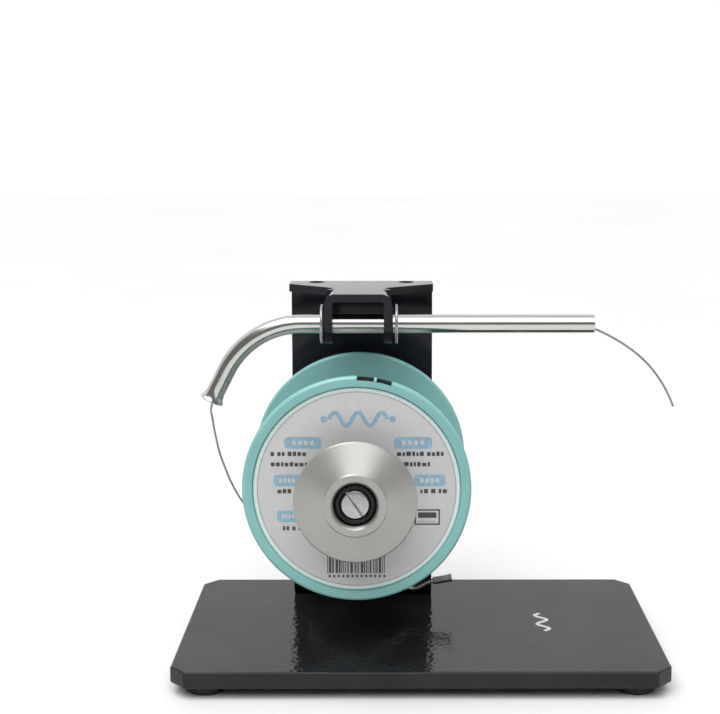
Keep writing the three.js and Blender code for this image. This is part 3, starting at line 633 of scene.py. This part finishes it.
# chips with placeholder bars in them, and lines of placeholder print under them, left and right
for x, z, w in ((-18.6, 16.6, 12.8), (-24.2, 3.2, 9.4), (-24.0, -9.6, 7.6), (19.6, 16.6, 13.2), (25.4, 3.2, 11.0)):
    pill(x, z, w, 4.2, 0, 1.3)
    for i in range(4):
        pill(x + w * (-0.24 + 0.16 * i), z, w * 0.105, 1.5, 3, 0.25, 0.03)
greek(-29.8, -16.0, 12.7); greek(-29.8, -17.2, 9.0)
greek(-27.6, -20.6, -0.6); greek(-25.8, -19.0, -13.9)
greek(14.0, 31.2, 12.7); greek(16.4, 25.6, 9.0)
greek(22.2, 31.4, -0.6)
# a framed panel at the lower right
for dx, dz, w, h in ((0, 2.55, 8.8, 0.5), (0, -2.55, 8.8, 0.5), (-4.15, 0, 0.5, 5.6), (4.15, 0, 0.5, 5.6)):
    pill(24.6 + dx, -9.9 + dz, w, h, 1, 0.1)
pill(24.6, -9.2, 6.4, 2.0, 1, 0.3)
pill(24.6, -11.5, 6.0, 0.45, 2, 0.1)
# bars of uneven width at the bottom, with a row of small ticks under them
x = -10.4
while x < 10.2:
    w = rnd.choice((0.28, 0.28, 0.42, 0.6, 0.85))
    pill(x + w / 2, -26.6, w, 7.0, 1, 0.03)
    x += w + rnd.choice((0.28, 0.28, 0.42, 0.62))
for i in range(13):
    pill(-9.6 + 1.6 * i, -31.2, 0.75, 0.95, 1, 0.15)
# a thin line round the label's edge
hoop(0, 0, 34.55, 0.36, 2, 180)
# a pale teal band over the label's edge and the recess floor: a painted highlight of the recess lip
hoop(0, 0, 35.40, 1.05, 4, 180, lift=0.01)
label_print = make("spool_label_print", ink_v, ink_f, INKS, "spool_rotor", face_mats=ink_m, smooth=False)

# The winding: wire laid side by side in one helix, with the last turn crossing the layer below it.
PITCH, W0, W1 = 0.84, SPOOL_Y0 + FLANGE_T + 0.35, SPOOL_Y1 - FLANGE_T - 0.35
nv, na, sub = 0, 120, 8
rows = int((W1 - W0) / PITCH * sub)
verts, faces = [], []
for i in range(rows + 1):
    y = W0 + (W1 - W0) * i / rows
    for j in range(na):
        a = 2 * math.pi * j / na
        ph = ((y - W0) / PITCH + j / na) % 1.0
        t = 2 * ph - 1
        r = WIND_R - 0.42 + 0.42 * math.sqrt(max(0.0, 1 - t * t * 0.97))
        edge = min(y - W0, W1 - y)
        r -= 0.5 * max(0.0, 1 - edge / 0.8) ** 2
        verts.append((AXLE_X + r * math.cos(a), y, AXIS_Z + r * math.sin(a)))
for i in range(rows):
    for j in range(na):
        k = (j + 1) % na
        faces.append((i * na + j, i * na + k, (i + 1) * na + k, (i + 1) * na + j))
inner = len(verts)
for y in (W0, W1):
    for j in range(na):
        a = 2 * math.pi * j / na
        verts.append((AXLE_X + (CORE_R + 0.1) * math.cos(a), y, AXIS_Z + (CORE_R + 0.1) * math.sin(a)))
for j in range(na):
    k = (j + 1) % na
    faces.append((inner + j, inner + k, k, j))
    faces.append((rows * na + j, rows * na + k, inner + na + k, inner + na + j))
    faces.append((inner + na + j, inner + na + k, inner + k, inner + j))
winding = make("solder_winding_visual", verts, faces, SOLDER, "spool_rotor", sharp=70)
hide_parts("solder_winding")

turn = []
for i in range(0, 331):
    a = wire_t0 + math.radians(i)
    r = WIND_R + 0.12 + (0.18 if i < 6 else 0.18 * max(0.0, 1 - (i - 6) / 20))
    y = -6.0 + 4.6 * (i / 330) + 1.1 * math.sin(math.radians(i) * 1.5)
    turn.append((AXLE_X + r * math.cos(a), y, AXIS_Z + r * math.sin(a)))
last_turn = sweep("winding_last_turn", turn, WIRE_R, SOLDER, "spool_rotor", sides=12)

# ------------------------------------------------------------------ centring cones
front_profile = fillet(
    [(7.0, 2.3), (7.15, 1.25), (8.3, 0.0), (10.45, 0.0), (10.95, 0.5), (20.5, 3.95), (21.0, 4.45), (20.7, 5.5),
     (BORE_R - 0.15, SEAT_FRONT), (8.2, 22.6), (6.3 + FIT, 22.6), (6.3 + FIT, 3.2), (7.0, 3.2)],
    [0.0, 0.8, 0.75, 0.22, 0.4, 0.3, 0.3, 0.3, 0.3, 0.3, 0.2, 0.0, 0.0], steps=6)
front_cone = lathe("front_cone_visual", (AXLE_X, CONE_FRONT_Y, AXIS_Z), (0, 1, 0), front_profile, CONE, "front_cone_body", n=144, sharp=34)
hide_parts("front_cone")
rear_profile = fillet(
    [(6.3 + FIT, 0.0), (9.2, 0.0), (9.7, 0.5), (20.2, 1.0), (21.0, 1.6), (20.7, 2.4), (BORE_R - 0.15, SEAT_REAR), (8.2, 15.5), (6.3 + FIT, 15.5)],
    [0.2, 0.3, 0.3, 0.4, 0.35, 0.3, 0.3, 0.3, 0.2], steps=4)
rear_cone = lathe("rear_cone_visual", (AXLE_X, CONE_REAR_Y, AXIS_Z), (0, -1, 0), rear_profile, CONE, "spool_rotor", n=144, sharp=34)
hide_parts("rear_cone")
grip = lathe("front_cone_grip_ring_visual", (AXLE_X, CONE_FRONT_Y + 2.15, AXIS_Z), (0, 1, 0),
             [(AXLE_R + 0.06 + 0.96 + 0.96 * math.cos(2 * math.pi * i / 28), 0.98 * math.sin(2 * math.pi * i / 28)) for i in range(28)],
             BLACK, "front_cone_body", n=96)
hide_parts("front_cone_grip_ring")

# ------------------------------------------------------------------ axle: turned bar with a slotted, chamfered end
def turned_bar(name, origin, outline, mats, bands, body, n=120):
    """A solid bar about +Y from an outline of (radius, distance) that starts and ends on the axis."""
    rings_, verts, faces, fm = outline[1:-1], [], [], []
    ox, oy, oz = origin
    for r, s_ in rings_:
        verts += [(ox + r * math.sin(2 * math.pi * i / n), oy + s_, oz + r * math.cos(2 * math.pi * i / n)) for i in range(n)]
    first, last = len(verts), len(verts) + 1
    verts += [(ox, oy + outline[0][1], oz), (ox, oy + outline[-1][1], oz)]
    for i in range(n):
        j, e = (i + 1) % n, (len(rings_) - 1) * n
        faces += [(first, i, j), (last, e + j, e + i)]
        fm += [bands[0], bands[-1]]
    for k in range(len(rings_) - 1):
        for i in range(n):
            j = (i + 1) % n
            faces.append((k * n + i, (k + 1) * n + i, (k + 1) * n + j, k * n + j))
            fm.append(bands[k + 1])
    return make(name, verts, faces, mats, body, 30, fm)


y1 = PLATE_Y0 - GAP - AXLE_Y0
# the chamfer rings at the slotted end take the darker steel copy, as painted shade on the chamfer
axle = turned_bar("axle_shaft_visual", (AXLE_X, AXLE_Y0, AXIS_Z),
                  [(0, 0), (4.42, 0.0), (4.50, 0.03), (4.57, 0.08), (4.94, 0.45), (4.985, 0.52), (5.0, 0.62), (5.0, y1 - 0.3), (4.7, y1),
                   (STUD_R, y1), (STUD_R, PLATE_Y1 + 8.2 - AXLE_Y0), (STUD_R - 0.55, PLATE_Y1 + 8.75 - AXLE_Y0), (0, PLATE_Y1 + 8.8 - AXLE_Y0)],
                  [AXLE, AXLE_CHAMFER_SHADE], [0, 0, 1, 1, 1, 1, 0, 0, 0, 0, 0, 0], "stand")
sa = math.radians(-55.6)
cutter = make("slot_cutter", [(AXLE_X + x * math.cos(sa) - z * math.sin(sa), yy, AXIS_Z + x * math.sin(sa) + z * math.cos(sa))
                              for yy in (AXLE_Y0 - 1, AXLE_Y0 + 1.6) for x, z in ((-7, -0.42), (7, -0.42), (7, 0.42), (-7, 0.42))],
              [(0, 1, 2, 3), (7, 6, 5, 4), (0, 4, 5, 1), (1, 5, 6, 2), (2, 6, 7, 3), (3, 7, 4, 0)], AXLE, smooth=False)
cut = axle.modifiers.new("slot", "BOOLEAN")
cut.operation, cut.solver, cut.object = "DIFFERENCE", "EXACT", cutter
slotted = bpy.data.meshes.new_from_object(axle.evaluated_get(bpy.context.evaluated_depsgraph_get()))
axle.modifiers.clear()
axle.data = slotted
bpy.data.objects.remove(cutter)
slotted.polygons.foreach_set("use_smooth", [True] * len(slotted.polygons))
slotted.set_sharp_from_angle(angle=math.radians(30))
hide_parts("axle_shaft")

# ------------------------------------------------------------------ guide tube, grommets and rings
tube_rings = []  # (distance along the axis from the right end, outer radius, inner radius)
bell_o = [(0.0, 3.45), (0.6, 3.47), (1.2, 3.53), (1.8, 3.62), (2.4, 3.76), (2.9, 3.94), (3.3, 4.15), (3.6, 4.33), (3.85, 4.48), (4.05, 4.55), (4.15, 4.52)]
bell_i = [(0.0, 2.65), (0.6, 2.68), (1.2, 2.80), (1.8, 2.95), (2.4, 3.13), (2.9, 3.33), (3.3, 3.55), (3.6, 3.76), (3.85, 3.98), (4.05, 4.18), (4.15, 4.28)]
d_end = TUBE_LEN - MOUTH_LEN
outer = [(0.0, 3.30), (0.15, 3.45)] + [(x, 3.45) for x in np.arange(2.0, TUBE_X1 - BEND_X, 6.0)]
outer += [(TUBE_X1 - BEND_X + t, 3.45) for t in np.arange(0.0, BEND_R * BEND_ANGLE + 0.01, 0.9)]
outer += [(x, 3.45) for x in np.arange(TUBE_X1 - BEND_X + BEND_R * BEND_ANGLE + 1.0, d_end - 0.5, 1.5)]
inner_ = [(x, 2.65) if x > 0.2 else (x, 2.8 - 0.15 * (x / 0.15)) for x, _ in outer]
outer += [(d_end + s, r) for s, r in bell_o]
inner_ += [(d_end + s, r) for s, r in bell_i]
SIDES = 64
verts, faces = [], []
seq = [(d, r) for d, r in outer] + [(TUBE_LEN - 0.0, 4.42)] + [(d, r) for d, r in reversed(inner_)]
for d, r in seq:
    p = guide_point(d)
    q = guide_point(min(d + 0.01, TUBE_LEN + 1)) - guide_point(max(d - 0.01, 0))
    t = q.normalized()
    u = Vector((0, 1, 0))
    v = t.cross(u).normalized()
    for k in range(SIDES):
        a = 2 * math.pi * k / SIDES
        verts.append(p + u * (r * math.cos(a)) + v * (r * math.sin(a)))
for i in range(len(seq)):
    j = (i + 1) % len(seq)
    for k in range(SIDES):
        l = (k + 1) % SIDES
        faces.append((i * SIDES + k, i * SIDES + l, j * SIDES + l, j * SIDES + k))
tube = make("guide_tube_visual", verts, faces, TUBE, "guide_tube_body", sharp=40)
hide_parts("guide_tube")

r0, w, t = TUBE_R + FIT, GROMMET_WALL, SHEET
grommet_profile = fillet(
    [(r0, -w), (GROMMET_R, -w), (GROMMET_R, -GAP), (4.3, -GAP), (4.3, t - 0.1), (r0, t - 0.1)],
    [0.15, 0.14, 0.1, 0.0, 0.15, 0.15], steps=4)
for side, x, k in (("left", EAR_MID - EAR_HALF, 1), ("right", EAR_MID + EAR_HALF, -1)):
    g = lathe("tube_grommet_%s_visual" % side, (x, TUBE_Y, TUBE_Z), (k, 0, 0), grommet_profile, RUBBER, "stand", n=96)
    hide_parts("tube_grommet_" + side)
ring_profile = fillet([(TUBE_R + 0.02, 0), (RING_R, 0), (RING_R, RING_T), (TUBE_R + 0.02, RING_T)], [0.1, 0.3, 0.3, 0.1], 4)
for side, x in (("left", RING_LEFT_X), ("right", RING_RIGHT_X)):
    g = lathe("tube_ring_%s_visual" % side, (x, TUBE_Y, TUBE_Z), (1, 0, 0), ring_profile, ZINC, "guide_tube_body", n=96)
    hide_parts("tube_ring_" + side)

# ------------------------------------------------------------------ brake: bent wire arm and torsion spring
y = ARM_Y
arm_pts = [
    (PIVOT_X, PLATE_Y0 + 6.3, PIVOT_Z), (PIVOT_X, PLATE_Y0 + 1, PIVOT_Z), (PIVOT_X, 26, PIVOT_Z), (PIVOT_X, 21, PIVOT_Z), (PIVOT_X, 19.1, PIVOT_Z), (PIVOT_X + 0.7, 17.5, PIVOT_Z + 0.35),
    (PIVOT_X + 2.6, y, PIVOT_Z + 1.3), (PIVOT_X + 7.5, y, PIVOT_Z + 3.7), (PAD_X - 6.3, y, PAD_Z - 1.4), (PAD_X - 3.8, y, PAD_Z - 0.15), (PAD_X - 2, y, PAD_Z), (PAD_X + 2, y, PAD_Z),
    (PAD_X + 3.8, y, PAD_Z - 0.3), (PAD_X + 6.2, y, PAD_Z - 1.7), (PAD_X + 15.5, y, PAD_Z - 9.3), (PAD_X + 18.2, y, PAD_Z - 11.0), (PAD_X + 20.4, y, PAD_Z - 11.5), (PAD_X + 22.6, y, PAD_Z - 10.9),
    (3.7, y, PAD_Z - 9.0), (5.7, y, PAD_Z - 8.45), (8.5, y, PAD_Z - 7.95), (11.6, y, PAD_Z - 7.4)]
arm = sweep("brake_arm_visual", catmull(arm_pts, per=0.6), ARM_R, SPRING, "brake_body", sides=16)
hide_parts("brake_arm")
fd = Vector((5.9, 0, 1.05)).normalized()
ferrule = lathe("brake_ferrule_visual", Vector((5.7, y, PAD_Z - 8.45)), fd,
                fillet([(0.82, 0.0), (1.28, 0.0), (1.42, 0.5), (1.42, 1.1), (1.30, 1.35), (1.42, 1.6), (1.46, 6.3), (1.62, 7.1), (1.62, 7.45), (1.12, 7.45), (1.02, 6.2), (0.82, 6.0)],
                       [0.1, 0.2, 0.15, 0.1, 0.1, 0.1, 0.3, 0.15, 0.12, 0.12, 0.1, 0.0], 4), ZINC, "brake_body", n=64)
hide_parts("brake_ferrule")
coil = [(PIVOT_X + 1.85 * math.cos(a), PLATE_Y0 - 2.05 - 6.5 * a / (10 * math.pi), PIVOT_Z + 1.85 * math.sin(a)) for a in np.linspace(0, 10 * math.pi, 200)]
spring = sweep("brake_torsion_spring_visual", coil, 0.3, SPRING, "stand", sides=10)
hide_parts("brake_torsion_spring")

# ------------------------------------------------------------------ CAD nodes that stay: finish, and rounded edges
KEPT = {
    "base_plate": (BASE, 0.35), "upright_bracket": (UPRIGHT, 0.22),
    "foot_front_left": (RUBBER, 0.3), "foot_front_right": (RUBBER, 0.3), "foot_rear_left": (RUBBER, 0.3), "foot_rear_right": (RUBBER, 0.3),
    "bracket_washer_left": (ZINC, 0.1), "bracket_washer_right": (ZINC, 0.1), "bracket_screw_left": (ZINC, 0.1), "bracket_screw_right": (ZINC, 0.1),
    "axle_thrust_washer": (AXLE, 0.08), "axle_lock_washer": (ZINC, 0.12), "axle_nut": (ZINC, 0.18),
    "front_cone_bush": (BLACK, 0.15), "rear_cone_bush": (BLACK, 0.15), "spool_core": (TEAL, 0.1),
    "brake_pad": (RUBBER, 0.2), "brake_clip": (ZINC, 0.08), "brake_pivot_bush": (BLACK, 0.15),
}
for name, (mat, r) in KEPT.items():
    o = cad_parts[name]
    o.data.materials.clear()
    o.data.materials.append(mat)
    o.data.polygons.foreach_set("material_index", [0] * len(o.data.polygons))
    o.data.polygons.foreach_set("use_smooth", [True] * len(o.data.polygons))
    if "custom_normal" in o.data.attributes:
        o.data.attributes.remove(o.data.attributes["custom_normal"])
    weld = o.modifiers.new("weld", "WELD")
    weld.merge_threshold = 2e-6
    bev = o.modifiers.new("bevel", "BEVEL")
    bev.width, bev.segments, bev.limit_method, bev.angle_limit = r * MM, 3, "ANGLE", math.radians(28)
    bev.use_clamp_overlap = True
    wn = o.modifiers.new("weighted_normals", "WEIGHTED_NORMAL")
    wn.mode, wn.weight, wn.keep_sharp = "FACE_AREA", 90, False

# ------------------------------------------------------------------ a small plain mark printed on the base
mark_v, mark_f = [], []
stroke = [(46.7 + 2.0 * math.sin(2 * math.pi * 2.0 * i / 90), -5.0 + 17.2 * i / 90) for i in range(91)]
for z in (BASE_TOP + 0.015, BASE_TOP - 0.05):
    for k in (-0.5, 0.5):
        for i, (px, py) in enumerate(stroke):
            (ax, ay), (bx, by) = stroke[max(i - 1, 0)], stroke[min(i + 1, 90)]
            q = math.hypot(bx - ax, by - ay)
            mark_v.append((px + k * 1.45 * (by - ay) / q, py - k * 1.45 * (bx - ax) / q, z))
for i in range(90):
    t0, t1, b0, b1 = i, 91 + i, 182 + i, 273 + i
    mark_f += [(t0, t1, t1 + 1, t0 + 1), (b1, b0, b0 + 1, b1 + 1), (b0, t0, t0 + 1, b0 + 1), (t1, b1, b1 + 1, t1 + 1)]
mark_f += [(0, 182, 273, 91), (90, 181, 363, 272)]
mark = make("base_mark", mark_v, mark_f, INK_PALE, "stand", smooth=False)

# ------------------------------------------------------------------ floor and light
floor_mat = floor_paint()
floor = make("floor", [(-3000, -3000, 0), (3000, -3000, 0), (3000, 3000, 0), (-3000, 3000, 0)], [(0, 1, 2, 3)], floor_mat, smooth=False)

world = bpy.data.worlds.new("studio")
scene.world = world
world.use_nodes = True
wt = world.node_tree
bg = next(n for n in wt.nodes if n.type == "BACKGROUND")
bg.inputs["Strength"].default_value = 1.0
tc, sep = wt.nodes.new("ShaderNodeTexCoord"), wt.nodes.new("ShaderNodeSeparateXYZ")
wt.links.new(tc.outputs["Generated"], sep.inputs["Vector"])


def by_height(stops):
    """Brightness against the sine of the height above the horizon, as (position, value) stops; values are halved here."""
    n = wt.nodes.new("ShaderNodeValToRGB")
    e = n.color_ramp.elements
    e[0].position, e[1].position = stops[0][0], stops[-1][0]
    for p, _ in stops[1:-1]:
        e.new(p)
    for el, (_, v) in zip(e, stops):
        el.color = (v / 2, v / 2, v / 2, 1)
    wt.links.new(sep.outputs["Z"], n.inputs["Fac"])
    return n.outputs["Color"]


def ramp01(src, lo, hi):
    n = wt.nodes.new("ShaderNodeMapRange")
    n.interpolation_type = "SMOOTHSTEP"
    n.inputs["From Min"].default_value, n.inputs["From Max"].default_value = lo, hi
    wt.links.new(src, n.inputs["Value"])
    return n.outputs["Result"]


def mix(fac, a, b):
    n = wt.nodes.new("ShaderNodeMix")
    wt.links.new(fac, n.inputs["Factor"])
    for s_, v_ in ((n.inputs["A"], a), (n.inputs["B"], b)):
        if isinstance(v_, float):
            s_.default_value = v_
        else:
            wt.links.new(v_, s_)
    return n.outputs["Result"]


# The room: a pale backdrop behind, a dim room in front of the bench, and a broad soft light overhead.
backdrop = by_height([(0.0, 1.10), (0.12, 1.08), (0.24, 0.80), (0.34, 0.84), (0.40, 1.10), (0.60, 0.95), (1.0, 0.80)])
front_room = by_height([(0.0, 0.20), (0.20, 0.20), (0.60, 0.22), (0.85, 0.50), (1.0, 0.70)])
room = mix(ramp01(sep.outputs["Y"], -0.25, 0.25), front_room, backdrop)
twice = wt.nodes.new("ShaderNodeMath")
twice.operation = "MULTIPLY"
twice.inputs[1].default_value = 2.0
wt.links.new(room, twice.inputs[0])
dot = wt.nodes.new("ShaderNodeVectorMath")
dot.operation = "DOT_PRODUCT"
dot.inputs[1].default_value = Vector((0.0, -0.62, 1.0)).normalized()
wt.links.new(tc.outputs["Generated"], dot.inputs[0])
wt.links.new(mix(ramp01(dot.outputs["Value"], 0.81, 0.96), twice.outputs[0], 2.3), bg.inputs["Color"])


def softbox(name, at, target, size, power, glossy=True):
    d = bpy.data.lights.new(name, "AREA")
    d.shape, d.size, d.size_y, d.energy = "RECTANGLE", size[0], size[1], power
    o = bpy.data.objects.new(name, d)
    scene.collection.objects.link(o)
    o.location = at
    o.rotation_euler = (Vector(target) - Vector(at)).to_track_quat("-Z", "Y").to_euler()
    o.visible_glossy, o.visible_camera = glossy, False
    return o


softbox("key_top", (-0.30, -0.16, 0.80), (0, 0.0, 0.05), (0.5, 0.35), 1.5)
# a small window in front and above, kept to the front cone and the rear flange as a flag and a snoot would do
window = softbox("cone_window", (-0.022, -0.62, 0.355), (-0.022, -0.05, 0.08), (0.42, 0.26), 0.80)
lit = bpy.data.collections.new("cone_window_lights")
lit.objects.link(front_cone)
lit.objects.link(rear_flange)
window.light_linking.receiver_collection = lit
sun_data = bpy.data.lights.new("ceiling_bounce", "SUN")
sun_data.energy, sun_data.angle = 2.7, math.radians(60)
sun = bpy.data.objects.new("ceiling_bounce", sun_data)
scene.collection.objects.link(sun)
sun.rotation_euler = Vector((-0.15, -0.50, 1.0)).to_track_quat("Z", "Y").to_euler()
sun.visible_glossy = False
